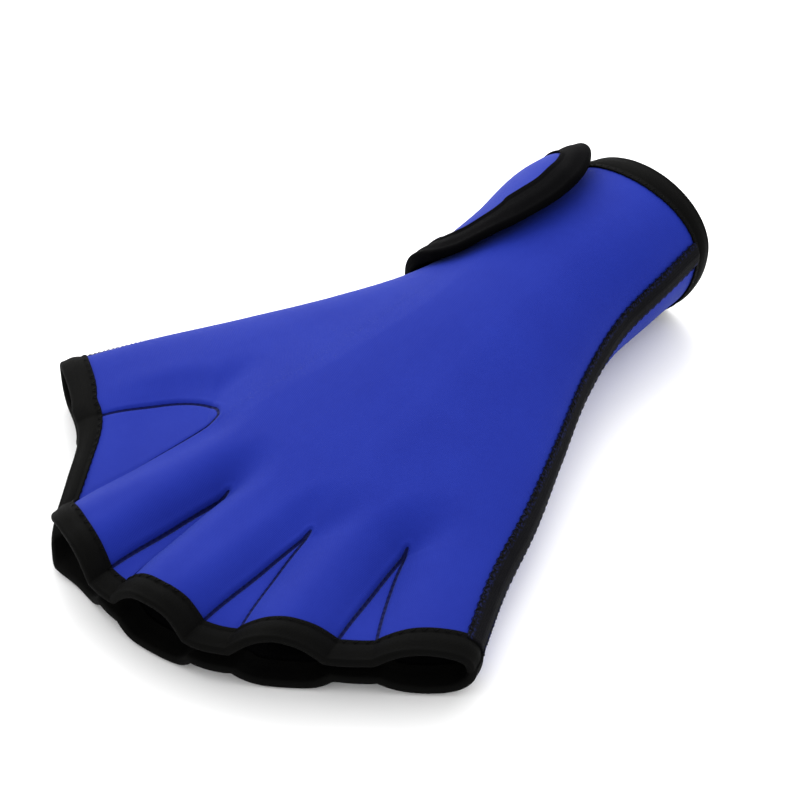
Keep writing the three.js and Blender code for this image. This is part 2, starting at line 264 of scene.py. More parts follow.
def frame_at(side, angle, v):
    """The outward unit normal, the face's length per radian and its length per unit of v, from
    central differences."""
    da, dv = 0.02, 0.005
    around = face(side, angle + da, v) - face(side, angle - da, v)
    along = face(side, angle, v + dv) - face(side, angle, v - dv)
    out = unit(np.cross(around, along) * np.asarray(side, float)[..., None])
    per_radian = np.linalg.norm(around, axis=-1) / (2 * da)
    return out, per_radian, np.linalg.norm(along, axis=-1) / (2 * dv)


def above(side, angle, v, height, apart=0.0):
    """A point at a height over the outer face, with the two panels parted where they meet."""
    side, angle, v, height = np.broadcast_arrays(np.asarray(side, float), angle, v, height)
    points = face(side, angle, v) + frame_at(side, angle, v)[0] * height[..., None]
    points[..., 2] += side * apart
    return points


print("crown of the hand:", face(1, math.pi / 2, 0.45).round(1), "mm")

# %% [markdown]
# ## Columns that follow the seams
# A grid hides its facets best where its lines run along what is seen. So the columns of a panel
# follow the web seams at the front, crowd together beside them, and even out toward the cuff.

# %% Columns and rows of a panel
tube_columns, web_columns = 36, [26, 12, 12, 12]
panel_rows = 300


def crowded(count, pull):
    """Shares from 0 to 1 that crowd at both ends: t - pull * sin(2 pi t) / (2 pi)."""
    t = np.linspace(0, 1, count + 1)
    return t - pull * np.sin(2 * math.pi * t) / (2 * math.pi)


def slit_edge(v):
    """The angle at which the back panel starts: 0, and slit_angle where the wrist is slit."""
    return slit_angle * ease(slit_start, slit_start + slit_taper, v)


def column_angles(side, v):
    """The angles of a panel's columns for each v, one row of angles for each."""
    v = np.atleast_1d(v)
    edge = slit_edge(v) if side > 0 else np.zeros_like(v)
    stops = [edge]
    for web in webs:
        low, high = web_seams(web, v)
        spare = np.maximum(0, 0.25 * (web["high"] - web["low"]) - (high - low)) / 2
        stops += [np.arccos(spare - low), np.arccos(-high - spare)]
    stops.append(np.full_like(v, math.pi))
    angles = [stops[0][:, None]]
    for k in range(len(stops) - 1):
        count = tube_columns if k % 2 == 0 else web_columns[(k - 1) // 2]
        share = crowded(count, 0.75 if k % 2 == 0 else 0.0)[1:]
        angles.append(mix(stops[k][:, None], stops[k + 1][:, None], share))
    angles = np.concatenate(angles, axis=1)
    even = mix(edge[:, None], math.pi, np.linspace(0, 1, angles.shape[1]))
    return mix(angles, even, ease(0.3, 1, v)[:, None])


panel_v = np.linspace(0, 1, panel_rows + 1) ** 1.15
print("panel grid:", len(panel_v), "by", column_angles(1, 0.0).shape[1])

# %% [markdown]
# ## Distance to the web seams
# The seams need a groove in the mesh and a dark stitch line in the material. Both read one number at
# each vertex, the distance to the nearest web seam, negative inside the web. A second number counts
# the millimetres along the seam, so that the stitches can be spaced.


# %% Seam distance
def flat_place(s, v):
    """The place in plan, x across and y along, used for distances on the panel."""
    thumb, little = edges(v)
    across = (thumb + little) / 2 + (little - thumb) / 2 * s
    return np.stack([across, -edge_length(s) * (1 - v)], axis=-1)


def web_outline(web, count=90):
    """The web's seam as one line in plan, from the front edge round the tip and back."""
    t = np.sin(np.linspace(0, math.pi / 2, count))
    v = t * web["depth"]
    low, high = web_seams(web, v)
    return np.concatenate([flat_place(low, v), flat_place(high, v)[::-1][1:]])


def seam_distance(s, v):
    """Signed distance to the nearest web seam and the place along it, both in millimetres."""
    points = flat_place(s, v)
    best = np.full(s.shape, 30.0)
    run = np.zeros(s.shape)
    near = v < 0.42
    for web in webs:
        line = web_outline(web)
        a, b = line[:-1], line[1:]
        step = b - a
        length, start = np.linalg.norm(step, axis=1), travelled(line)
        p = points[near]
        gap = p[:, None] - a
        t = np.clip((gap * step).sum(2) / (length**2), 0, 1)
        away = np.linalg.norm(gap - t[..., None] * step, axis=2)
        k = away.argmin(1)
        rows = np.arange(len(k))
        low, high = web_seams(web, v[near])
        inside = (s[near] > low) & (s[near] < high) & (v[near] < web["depth"])
        distance = np.where(inside, -1, 1) * away[rows, k]
        closer = np.abs(distance) < np.abs(best[near])
        best[near] = np.where(closer, distance, best[near])
        run[near] = np.where(closer, start[k] + t[rows, k] * length[k], run[near])
    return best, run


# %% [markdown]
# ## Cloth that isn't perfectly smooth
# Foam-backed cloth keeps shallow dents from being folded and packed. A few long sine waves of
# different directions, added up, give a soft unevenness that is the same on every run.

# %% Soft unevenness
rng = np.random.default_rng(7)
wave_count = 14
wave_vectors = rng.normal(size=(wave_count, 3)) / rng.uniform(9, 34, (wave_count, 1))
wave_phases = rng.uniform(0, 2 * math.pi, wave_count)


def unevenness(points):
    """The mean of the sines of wave_vector . point + phase, about -0.3 to 0.3."""
    return np.sin(points @ wave_vectors.T + wave_phases).mean(axis=-1)


# %% [markdown]
# ## From grids to meshes
# A cloth piece is a closed wall: a fine outer grid, an inner grid, and a rim between their borders.
# The inner grid of a large panel takes every second row and column, because only the fingers see
# it, and the rim joins each of its edges to two of the outer grid's.

# %% Mesh helpers
def grid_quads(rows, columns, first=0, wrap=False):
    """The corner numbers of a grid's quads, row by row. wrap joins the last column to the first."""
    i = np.arange(rows - 1)[:, None]
    j = np.arange(columns if wrap else columns - 1)[None, :]
    k = (j + 1) % columns
    quads = np.stack([i * columns + j, i * columns + k, (i + 1) * columns + k,
                      (i + 1) * columns + j], axis=-1)
    return quads.reshape(-1, 4) + first


def border(rows, columns, first=0):
    """The corner numbers round a grid's border, as one loop."""
    top = np.arange(columns - 1)
    right = np.arange(rows - 1) * columns + columns - 1
    bottom = (rows - 1) * columns + np.arange(columns - 1, 0, -1)
    left = np.arange(rows - 1, 0, -1) * columns
    return np.concatenate([top, right, bottom, left]) + first


def add_object(name, data):
    """A new object of the scene that holds a mesh, a light or a camera."""
    made = bpy.data.objects.new(name, data)
    bpy.context.scene.collection.objects.link(made)
    return made


def make_mesh(name, points, faces, slots, uv, values=None, face_slots=None):
    """A mesh object from points in millimetres in the glove's own place, with smooth faces, a uv map
    in millimetres and named values at its vertices."""
    mesh = bpy.data.meshes.new(name)
    corners = np.concatenate([np.asarray(f).reshape(-1) for f in faces])
    sizes = np.concatenate([np.full(len(f), f.shape[1]) for f in faces])
    mesh.vertices.add(len(points))
    mesh.vertices.foreach_set("co", ((points + glove_shift) * MM).astype(np.float32).ravel())
    mesh.loops.add(len(corners))
    mesh.loops.foreach_set("vertex_index", corners.astype(np.int32))
    mesh.polygons.add(len(sizes))
    starts = np.concatenate([[0], np.cumsum(sizes)[:-1]])
    mesh.polygons.foreach_set("loop_start", starts.astype(np.int32))
    mesh.update(calc_edges=True)
    mesh.validate()
    mesh.polygons.foreach_set("use_smooth", np.ones(len(sizes), bool))
    if face_slots is not None:
        mesh.polygons.foreach_set("material_index", face_slots.astype(np.int32))
    cloth_uv = mesh.uv_layers.new(name="cloth").uv
    cloth_uv.foreach_set("vector", uv[corners].astype(np.float32).ravel())
    for key, value in (values or {}).items():
        attribute = mesh.attributes.new(key, "FLOAT", "POINT")
        attribute.data.foreach_set("value", np.asarray(value, np.float32))
    for material in slots:
        mesh.materials.append(material)
    print(f"{name}: {int((sizes - 2).sum())} triangles")
    return add_object(name, mesh)


def signed_volume(points, quads):
    """Volume inside a closed set of quads, positive where they face outwards."""
    a, b, c, d = (points[quads[:, k]] for k in range(4))
    return float((a * (np.cross(b, c) + np.cross(c, d))).sum() / 6)


# %% Walls and tubes
def wall(name, outer, inner, slots, uv, values=None):
    """A closed wall between an outer grid and an inner grid of half its rows and columns. Slot 0 is
    the outer face and rim, and slot 1 the inner face."""
    rows, columns = outer.shape[:2]
    in_rows, in_columns = inner.shape[:2]
    points = np.concatenate([outer.reshape(-1, 3), inner.reshape(-1, 3)])
    first = rows * columns
    out_quads = grid_quads(rows, columns)
    in_quads = grid_quads(in_rows, in_columns, first)[:, ::-1]
    loop, in_loop = border(rows, columns), border(in_rows, in_columns, first)
    a, b = in_loop, np.roll(in_loop, -1)
    f0, f1, f2 = loop[::2], loop[1::2], np.roll(loop, -2)[::2]
    rim = np.concatenate([np.stack(t, axis=1) for t in ((a, f1, f0), (a, b, f1), (b, f2, f1))])
    facing = signed_volume(points, out_quads) + signed_volume(points, in_quads)
    faces = [out_quads, in_quads, rim]
    if facing < 0:
        faces = [f[:, ::-1] for f in faces]
    places = np.concatenate([np.zeros(len(out_quads)), np.ones(len(in_quads)), np.zeros(len(rim))])
    uv = np.concatenate([uv.reshape(-1, 2), uv[every_second].reshape(-1, 2)])
    values = {key: np.concatenate([x.ravel(), x[every_second].ravel()])
              for key, x in (values or {}).items()}
    return make_mesh(name, points, faces, slots, uv, values, places)


def tube(name, grid, slots, uv, closed=False, values=None):
    """A closed skin carried along a path: each row of the grid is one closed section. The ends are
    shut with a fan, or joined to each other where the path is closed."""
    rows, columns = grid.shape[:2]
    points = grid.reshape(-1, 3)
    uv = uv.reshape(-1, 2)
    quads = grid_quads(rows, columns, wrap=True)
    j, last = np.arange(columns), (rows - 1) * columns
    k = (j + 1) % columns
    if closed:
        faces = [np.concatenate([quads, np.stack([last + j, last + k, k, j], axis=1)])]
    else:
        points = np.concatenate([points, [grid[0].mean(0), grid[-1].mean(0)]])
        uv = np.concatenate([uv, uv[:1], uv[-1:]])
        middle = np.full(columns, rows * columns)
        start = np.stack([k, j, middle], axis=1)
        end = np.stack([last + j, last + k, middle + 1], axis=1)
        faces = [quads, np.concatenate([start, end])]
    if signed_volume(points, faces[0]) < 0:
        faces = [f[:, ::-1] for f in faces]
    if values:
        values = {key: np.concatenate([x.ravel(), np.zeros(len(points) - x.size)])
                  for key, x in values.items()}
    return make_mesh(name, points, faces, slots, uv, values)


def finish_piece(piece, replaced):
    """A piece rides on the glove and stands for its CAD nodes, which it hides."""
    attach(piece, "root")
    if replaced:
        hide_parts(*replaced)
    return piece


# %% [markdown]
# ## Where the glove lies
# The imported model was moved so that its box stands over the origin. The back panel's own box in the
# frame tells how far, so nothing is fitted by eye. Across, the thumb edge is matched.

# %% Place of the glove in the frame
probe_v = np.linspace(0, 1, 141)
probe = np.concatenate([
    above(1, column_angles(1, probe_v), probe_v[:, None], height, clearance / 2).reshape(-1, 3)
    for height in (0.0, -neoprene)
])
panel_low, panel_high = (np.array(corner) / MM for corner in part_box("back_panel"))
glove_shift = (panel_low + panel_high) / 2 - (probe.min(0) + probe.max(0)) / 2
glove_shift[0] = panel_low[0] - probe[:, 0].min()
glove_shift[2] = 0.0
print("glove shift:", glove_shift.round(2), "mm")

# %% [markdown]
# ## Finishes
# The real cloth is nylon knit glued on foam rubber, matt and a little uneven in colour. Every finish
# here is a Principled shader fed by shared node groups: a soft mottling of the colour, a fine knit
# or weave as bump, a stitch line, and specks for blue fluff on black tape. The groups only put out
# colours, masks and heights, and each material places them with its own values, so a change of the
# knit reaches every piece.


# %% Node helpers
def node_group(name, inputs, outputs):
    """An empty node group with named sockets, what it is given and the node that takes its results."""
    group = bpy.data.node_groups.new(name, "ShaderNodeTree")
    kinds = {"value": "NodeSocketFloat", "colour": "NodeSocketColor", "vector": "NodeSocketVector"}
    for way, sockets in (("INPUT", inputs), ("OUTPUT", outputs)):
        for socket, kind in sockets.items():
            group.interface.new_socket(socket, in_out=way, socket_type=kinds[kind])
    given = group.nodes.new("NodeGroupInput")
    return group, given.outputs, group.nodes.new("NodeGroupOutput")


def connect(tree, node, values):
    """Feeds a node's inputs, by name or number. Other nodes' outputs are linked, numbers and colours
    are set, and None leaves an input as it is."""
    for key, value in values.items():
        if isinstance(value, bpy.types.NodeSocket):
            tree.links.new(value, node.inputs[key])
        elif value is not None:
            node.inputs[key].default_value = value


def math_node(tree, operation, *values):
    """A Math node of sockets or numbers, and its output."""
    node = tree.nodes.new("ShaderNodeMath")
    node.operation = operation
    connect(tree, node, dict(enumerate(values)))
    return node.outputs[0]


def noise(tree, vector, scale, detail=3.0):
    """A Noise node's value for a vector."""
    node = tree.nodes.new("ShaderNodeTexNoise")
    connect(tree, node, {"Vector": vector, "Scale": scale, "Detail": detail})
    return node.outputs["Fac"]


def mixed(tree, kind, share, a, b):
    """A Mix node's result, for kind RGBA or FLOAT."""
    node = tree.nodes.new("ShaderNodeMix")
    node.data_type = kind
    first, second, result = {"RGBA": (6, 7, 2), "FLOAT": (2, 3, 0)}[kind]
    connect(tree, node, {0: share, first: a, second: b})
    return node.outputs[result]


def smooth_range(tree, value, start, end):
    """A smooth step from 0 at start to 1 at end."""
    node = tree.nodes.new("ShaderNodeMapRange")
    node.interpolation_type = "SMOOTHSTEP"
    connect(tree, node, {"Value": value, "From Min": start, "From Max": end})
    return node.outputs[0]


# %% Mottled colour, fine knit and stitch line
def mottle_group():
    """Colour between Dark and Light by two noises, a broad one and a fine one."""
    group, given, made = node_group(
        "mottled colour", {"Vector": "vector", "Scale": "value", "Light": "colour", "Dark": "colour"},
        {"Colour": "colour", "Mask": "value"})
    calc = partial(math_node, group)
    broad = noise(group, given["Vector"], given["Scale"])
    fine = noise(group, given["Vector"], calc("MULTIPLY", given["Scale"], 9.0), 2.0)
    both = calc("ADD", calc("MULTIPLY", broad, 0.7), calc("MULTIPLY", fine, 0.3))
    colour = mixed(group, "RGBA", both, given["Dark"], given["Light"])
    connect(group, made, {"Colour": colour, "Mask": both})
    return group


def knit_group():
    """Height of a knitted face from cloth millimetres: columns of loops |sin(pi u / pitch)| whose
    loops lean to both sides, as sin(2 pi (v + lean * column) / pitch)."""
    group, given, made = node_group(
        "fine knit", {"Cloth": "vector", "Pitch": "value", "Lean": "value"}, {"Height": "value"})
    calc = partial(math_node, group)
    parts = group.nodes.new("ShaderNodeSeparateXYZ")
    connect(group, parts, {0: given["Cloth"]})
    u, v = (calc("DIVIDE", parts.outputs[axis], given["Pitch"]) for axis in "XY")
    column = calc("ABSOLUTE", calc("SINE", calc("MULTIPLY", u, math.pi)))
    leaning = calc("ADD", v, calc("MULTIPLY", column, given["Lean"]))
    loops = calc("SINE", calc("MULTIPLY", leaning, 2 * math.pi))
    height = calc("MULTIPLY", column, calc("ADD", calc("MULTIPLY", loops, 0.3), 0.7))
    connect(group, made, {"Height": height})
    return group


def stitch_group():
    """A stitch line from the distance to a seam and the place along it: a narrow band, a smooth
    step down of |distance| / width, notched by the sine of the place over the stitch length."""
    group, given, made = node_group(
        "stitch line", {"Distance": "value", "Run": "value", "Width": "value", "Stitch": "value"},
        {"Mask": "value", "Height": "value"})
    calc = partial(math_node, group)
    share = calc("DIVIDE", calc("ABSOLUTE", given["Distance"]), given["Width"])
    line = calc("SUBTRACT", 1.0, smooth_range(group, share, 0.55, 1.0))
    stitches = calc("DIVIDE", given["Run"], given["Stitch"])
    turn = calc("SINE", calc("MULTIPLY", stitches, 2 * math.pi))
    notch = calc("ADD", calc("MULTIPLY", turn, 0.3), 0.7)
    connect(group, made, {"Mask": line, "Height": calc("MULTIPLY", line, notch)})
    return group


def speckle_group():
    """Specks where a noise passes a step, only beside the edges of a strip."""
    group, given, made = node_group(
        "specks", {"Vector": "vector", "Scale": "value", "Beside": "value"}, {"Mask": "value"})
    specks = smooth_range(group, noise(group, given["Vector"], given["Scale"], 1.0), 0.5, 0.6)
    near = smooth_range(group, given["Beside"], 0.5, 0.8)
    connect(group, made, {"Mask": math_node(group, "MULTIPLY", specks, near)})
    return group


mottled, knit, stitch_line, speckled = mottle_group(), knit_group(), stitch_group(), speckle_group()
print("node groups:", [group.name for group in (mottled, knit, stitch_line, speckled)])


# %% One cloth material
def linear(red, green, blue):
    """A colour given in display values, 0 to 255, as linear light with full alpha."""
    share = np.array([red, green, blue]) / 255
    light = np.where(share <= 0.04045, share / 12.92, ((share + 0.055) / 1.055) ** 2.4)
    return (*(float(x) for x in light), 1.0)


def place_group(tree, group, **values):
    """The outputs of a group node whose inputs are set to numbers, colours or other outputs."""
    node = tree.nodes.new("ShaderNodeGroup")
    node.node_tree = group
    connect(tree, node, values)
    return node.outputs


def bump(tree, height, distance, normal=None, invert=False):
    """The normal of a Bump node whose distance is in millimetres, over another normal."""
    node = tree.nodes.new("ShaderNodeBump")
    node.invert = invert
    connect(tree, node, {"Height": height, "Distance": distance * MM, "Normal": normal})
    return node.outputs["Normal"]


def vertex_value(tree, name):
    """A named value of the mesh's vertices."""
    node = tree.nodes.new("ShaderNodeAttribute")
    node.attribute_name = name
    return node.outputs["Fac"]


seam_relief, speck_scale = 0.35, 1300.0


def cloth_material(name, light, dark, roughness, pitch, relief, specular, sheen=0.0, sheen_tint=None,
                   mottle_scale=40.0, lean=0.6, seam_colour=None, speckle=None):
    """A cloth: mottled colour, knit bump with a relief in millimetres, a stitch line where
    seam_colour is given and the mesh has the seam and run values, and specks of a second colour near
    the edges where speckle is given and the mesh has the beside value."""
    material = bpy.data.materials.new(name)
    material.use_nodes = True
    tree = material.node_tree
    shader = tree.nodes["Principled BSDF"]
    place = tree.nodes.new("ShaderNodeTexCoord").outputs["Object"]
    cloth_uv = tree.nodes.new("ShaderNodeUVMap")
    cloth_uv.uv_map = "cloth"
    mottle = place_group(tree, mottled, Vector=place, Scale=mottle_scale, Light=light, Dark=dark)
    colour = mottle["Colour"]
    loops = place_group(tree, knit, Cloth=cloth_uv.outputs["UV"], Pitch=pitch, Lean=lean)
    normal = bump(tree, loops["Height"], relief)
    rough = mixed(tree, "FLOAT", mottle["Mask"], roughness + 0.05, roughness - 0.05)
    if seam_colour:
        line = place_group(tree, stitch_line, Distance=vertex_value(tree, "seam"),
                           Run=vertex_value(tree, "run"), Width=0.55, Stitch=2.4)
        colour = mixed(tree, "RGBA", line["Mask"], colour, seam_colour)
        normal = bump(tree, line["Height"], seam_relief, normal, invert=True)
    if speckle:
        specks = place_group(tree, speckled, Vector=place, Scale=speck_scale,
                             Beside=vertex_value(tree, "beside"))
        colour = mixed(tree, "RGBA", specks["Mask"], colour, speckle)
    connect(tree, shader, {
        "Base Color": colour, "Roughness": rough, "Normal": normal, "Specular IOR Level": specular,
        "Sheen Weight": sheen, "Sheen Roughness": 0.45, "Sheen Tint": sheen_tint})
    return material


# %% The glove's finishes
neoprene_blue = cloth_material(
    "royal blue neoprene", linear(22, 40, 138), linear(18, 32, 123), 0.75, 0.55, 0.035, 0.08,
    sheen=0.05, sheen_tint=linear(190, 220, 255), seam_colour=linear(4, 8, 62))
lining_black = cloth_material(
    "black lining", linear(9, 9, 10), linear(6, 6, 7), 0.9, 0.7, 0.06, 0.03)
binding_black = cloth_material(
    "black binding", linear(9, 9, 8), linear(6, 6, 6), 0.7, 0.45, 0.06, 0.025,
    mottle_scale=90.0, lean=1.0)
flap_binding_black = cloth_material(
    "deep black binding", linear(5, 5, 6), linear(3, 3, 4), 0.7, 0.45, 0.06, 0.01,
    mottle_scale=90.0, lean=1.0)
tape_black = cloth_material(
    "black seam tape", linear(12, 12, 16), linear(7, 7, 9), 0.7, 0.9, 0.12, 0.03,
    mottle_scale=140.0, lean=1.4, speckle=linear(20, 24, 56))
thread_black = cloth_material(
    "black thread", linear(11, 11, 12), linear(7, 7, 8), 0.5, 0.25, 0.03, 0.04)
pad_black = cloth_material(
    "black hook fastener", linear(14, 14, 14), linear(8, 8, 8), 0.95, 1.2, 0.3, 0.05)
print("finishes:", [m.name for m in bpy.data.materials])

# %% [markdown]
# ## The two panels
# The back is one big domed sheet over five finger tubes, with lower webs between them. The palm is
# pressed flat where it rests on the table. Both get a groove along each web seam with a low welt
# beside it, and both keep the shallow dents of packed cloth. A sculpted or simulated sheet would
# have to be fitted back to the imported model, while the formula lies on it from the start.

# %% Panels
groove_depth, groove_width = 0.5, 0.6
welt_height, welt_place = 0.22, 1.5
dent_height = 1.1


def arc_lengths(points):
    """Cloth millimetres of a grid: lengths summed across each row, from its middle, and along each
    column."""
    across = travelled(points.swapaxes(0, 1)).T
    middle = points.shape[1] // 2
    return np.stack([across - across[:, middle:middle + 1], travelled(points)], axis=-1)


def bound_thickness(inward):
    """Thickness of the neoprene at a distance in from a bound edge, where the strip squeezes it."""
    return mix(bound_neoprene, neoprene, ease(0.5 * binding_width, 1.5 * binding_width, inward))


def make_panel(name, side):
    """One panel as a closed wall of neoprene."""
    angle = column_angles(side, panel_v)
    v = np.broadcast_to(panel_v[:, None], angle.shape)
    seam, run = seam_distance(-np.cos(angle), v)
    plain = above(side, angle, v, 0.0, clearance / 2)
    free = ease(0.02, 0.1, v) * (1 - ease(0.9, 0.98, v))
    groove = np.exp(-((seam / groove_width) ** 2))
    welt = np.exp(-(((seam - welt_place) / groove_width) ** 2))
    height = dent_height * unevenness(plain) * free - groove_depth * groove + welt_height * welt * free
    outer = keep_up(above(side, angle, v, height, clearance / 2), 0.02, 0.4)
    inward = np.minimum(v * edge_length(-np.cos(angle)), (1 - v) * cuff_length)[every_second]
    past_slit = (angle - slit_edge(v))[every_second]
    angle, v = angle[every_second], v[every_second]
    if side > 0:
        no_slit = 1 - ease(slit_start, slit_start + slit_taper, v)
        per_radian = frame_at(side, angle, v)[1]
        inward = np.minimum(inward, past_slit * per_radian + no_slit * glove_length)
    inner = above(side, angle, v, -bound_thickness(inward), clearance / 2)
    piece = wall(name, outer, inner, [neoprene_blue, lining_black], arc_lengths(plain),
                 {"seam": seam, "run": run})
    return finish_piece(piece, [name])


back_panel = make_panel("back_panel", 1)
palm_panel = make_panel("palm_panel", -1)

# %% [markdown]
# ## Bindings
# A binding is a strip of elastic knit folded over the raw edge and sewn through. A bevelled curve
# could stand for it, but it would be round where the real strip is flat. So its section is a
# hairpin: a line that follows the cloth on both sides and goes round its edge in a half circle, with
# a thickness on both sides of that line. The strip swells between the fold and the stitches.


# %% Section of a binding
bow_share, strip_spread = 0.7, 1.15
dip_depth, dip_inset, dip_width = 0.2, 1.5, 0.5


def hairpin(width, gap, thickness=0.7, puff=0.4, points=22, turn=13):
    """The closed section of a folded strip as distances in from the edge and heights over the
    cloth's face. The middle line runs straight, round a half circle and back, and spreads from the
    squeezed edge with the cloth. Each side of it lies half the thickness away, and the outer side is
    raised by puff * sin^2 toward its middle."""
    reach = gap + thickness / 2
    straight = width * (1 - crowded(points, 0.5)[:-1])
    bow = np.linspace(0, math.pi, turn)
    radius = bound_neoprene / 2 + reach
    inward = np.concatenate([straight, -radius * bow_share * np.sin(bow), straight[::-1]])
    height = np.concatenate([np.full(points, reach), -bound_neoprene / 2 + radius * np.cos(bow),
                             -bound_thickness(straight[::-1]) - reach])
    tangent = unit(np.stack([np.gradient(inward), np.gradient(height)], axis=1))
    normal = np.stack([-tangent[:, 1], tangent[:, 0]], axis=1)
    if normal[0, 1] < 0:
        normal = -normal
    line = np.stack([inward, height], axis=1)
    share = np.clip(inward / width, 0, 1)
    swell = puff * np.sin(math.pi * np.clip(strip_spread * share, 0, 1)) ** 2
    dip = dip_depth * np.exp(-(((inward - width + dip_inset) / dip_width) ** 2))
    thick = thickness / 2 + np.where(height > -bound_neoprene / 2, swell - dip, 0)
    outer = line + normal * thick[:, None]
    inner = line - normal * (thickness / 2)
    cap = np.linspace(0, math.pi, 7)[1:-1]

    def end(at, sign):
        """Half a circle that closes one end of the strip."""
        across = normal[at] * thickness / 2
        forward = tangent[at] * thickness / 2 * sign
        return line[at] + np.cos(cap)[:, None] * across + np.sin(cap)[:, None] * forward

    loop = np.concatenate([outer, end(-1, 1), inner[::-1], end(0, -1)[::-1]])
    return loop[:, 0], loop[:, 1]


print("points in a binding's section:", len(hairpin(binding_width, strip_gap)[0]))


# %% Rings along the front edge and the cuff
def ring_stations(v):
    """Sides and angles once round the glove at each v: across the back, and home across the palm."""
    back = column_angles(1, v)
    palm = column_angles(-1, v)[:, ::-1][:, 1:]
    palm = palm[:, :-1] if back[0, 0] == 0 else palm
    side = np.concatenate([np.ones(back.shape[1]), -np.ones(palm.shape[1])])
    return side, np.concatenate([back, palm], axis=1)


def front_share(angle, inward):
    """The v of a place a distance in from the front edge."""
    return inward / edge_length(-np.cos(angle))


def lumps(points, size):
    """Small lumps of a gathered strip, from the unevenness of points scaled up."""
    return size * unevenness(points * 3.1)


def front_ring(inward, height):
    """Points of the front binding: one row for each station and one column for each place of the
    section."""
    share = band * inward / binding_width
    side, angle = ring_stations(np.clip(share, 0, None))
    side = np.broadcast_to(side, angle.shape)
    v = front_share(angle, inward[:, None])
    middle = above(side, angle, v, height[:, None])
    push = lumps(middle, 0.5) * ease(-bound_neoprene, 0, height[:, None])
    return keep_up(above(side, angle, v, height[:, None] + push)).transpose(1, 0, 2)


def make_binding(name, grid, inward, height, replaced, finish=binding_black, closed=False):
    """A binding from its grid, with cloth millimetres round its section and along its path."""
    round_it = travelled(np.stack([inward, height], axis=1))
    uv = np.stack(np.broadcast_arrays(round_it, travelled(grid[:, 0])[:, None]), axis=-1)
    return finish_piece(tube(name, grid, [finish], uv, closed), replaced)


inward, height = hairpin(binding_width, strip_gap)
make_binding("front_binding", front_ring(inward, height), inward, height,
             ["front_binding_back", "front_binding_palm"], closed=True)


# %% Cuff binding and slit binding
def cuff_ring(inward, height):
    """Points of the cuff binding, once round the cuff."""
    v = 1 - inward / cuff_length
    side, angle = ring_stations(np.clip(v, None, 1))
    side = np.broadcast_to(side, angle.shape)
    return keep_up(above(side, angle, v[:, None], height[:, None])).transpose(1, 0, 2)[::3]


make_binding("cuff_binding", cuff_ring(inward, height), inward, height, ["cuff_binding"],
             closed=True)

slit_v = np.linspace(slit_start + slit_taper, slit_end, 90)[:, None]
slit_in, slit_height = hairpin(slit_binding_width, strip_gap, puff=0.0, points=12, turn=9)
slit_angle_at = slit_edge(slit_v) + slit_in / frame_at(1, slit_edge(slit_v), slit_v)[1]
slit_grid = above(1, slit_angle_at, slit_v, slit_height, clearance / 2)
make_binding("slit_binding", slit_grid, slit_in, slit_height, ["slit_binding"])

# %% [markdown]
# ## Side tapes
# A woven tape covers each side seam. It is a flat strip with a low ridge where the seam runs under
# it. A Shrinkwrap modifier could lay it on the glove, but here the glove has a formula, so the strip
# is carried along the seam, with its width measured round the glove.


# %% Tapes
tape_path = {"along": [0, 0.3, 0.55, 0.75, 1], "little": [-3.6, -3.3, -1.7, -2.2, -3.4]}
thumb_tape_shift = -1.4
ridge_height, ridge_width, tape_bevel, tape_ripple = 0.3, 1.1, 0.1, 0.18
length_line = 9  # the line of points beside the ridge that a tape's length is measured on


def angle_at_distance(side, start, v, distance, steps=8):
    """The angle a distance round the face from another, by small steps of distance / length per
    radian."""
    angle = np.broadcast_to(start, np.broadcast(start, v, distance).shape).astype(float)
    for _ in range(steps):
        angle = angle + distance / steps / frame_at(side, angle, v)[1]
    return angle


def tape_middle(seam_angle, v):
    """The distance round the back's face from a seam to the middle of its tape, which lies further
    over the back beside the fingers and at the cuff."""
    if seam_angle == 0:
        return np.full_like(v, thumb_tape_shift)
    return read(tape_path, "along", "little", v)


def make_tape(name, seam_angle, start, end):
    """A woven tape: half widths as crowded shares, raised by a ridge exp(-(x / ridge_width)^2) and
    rounded at both edges by a square root."""
    x = tape_width / 2 * (2 * crowded(22, 0.7) - 1)
    edge = np.sqrt(np.clip(1 - (np.abs(x) / (tape_width / 2)) ** 6, 0, 1))
    ridge = ridge_height * np.exp(-((x / ridge_width) ** 2))
    top = clearance + tape_bevel + (trim - tape_bevel) * edge + ridge
    across = np.concatenate([x, x[::-1][1:-1]])
    height = np.concatenate([top, np.full(len(x) - 2, clearance)])
    v = np.linspace(start, end, 230)[:, None]
    angle = angle_at_distance(1, seam_angle, v, across[None, :] + tape_middle(seam_angle, v))
    points = above(1, angle, v, np.broadcast_to(height, angle.shape))
    ripple = tape_ripple * unevenness(points * 2.3)[..., None] * frame_at(1, angle, v)[0]
    points = points + ripple * (height > clearance + 0.2)[None, :, None]
    along = travelled(points[:, length_line])[:, None]
    uv = np.stack(np.broadcast_arrays(across[None, :] + tape_width, along), axis=-1)
    beside = np.broadcast_to(np.abs(across) / (tape_width / 2), points.shape[:2])
    return finish_piece(tube(name, points, [tape_black], uv, values={"beside": beside}), [name])


front_trim = band * 0.93
make_tape("side_tape_little_finger", math.pi, front_trim, 1 - front_trim)
make_tape("side_tape_thumb", 0.0, front_trim, flap_front - 0.03)

# %% [markdown]
# ## Closure flap
# The flap is sewn to the palm panel beside the slit, climbs over the thumb side of the wrist and
# lies on the back panel, held by a hook pad. Cut from a flat sheet it would have to be bent round the
# wrist, so it is drawn on the wrist instead. Its grid runs from the seam out to the bound edge, and
# its edge is one smooth curve through the outline table.

# %% Flap surface
flap_rest = flap_gap + trim + clearance
flap_rise = clearance + pad_thickness + 2 * clearance
sewn_thickness, flap_inset, flap_dents = 0.8, 0.8, 0.5


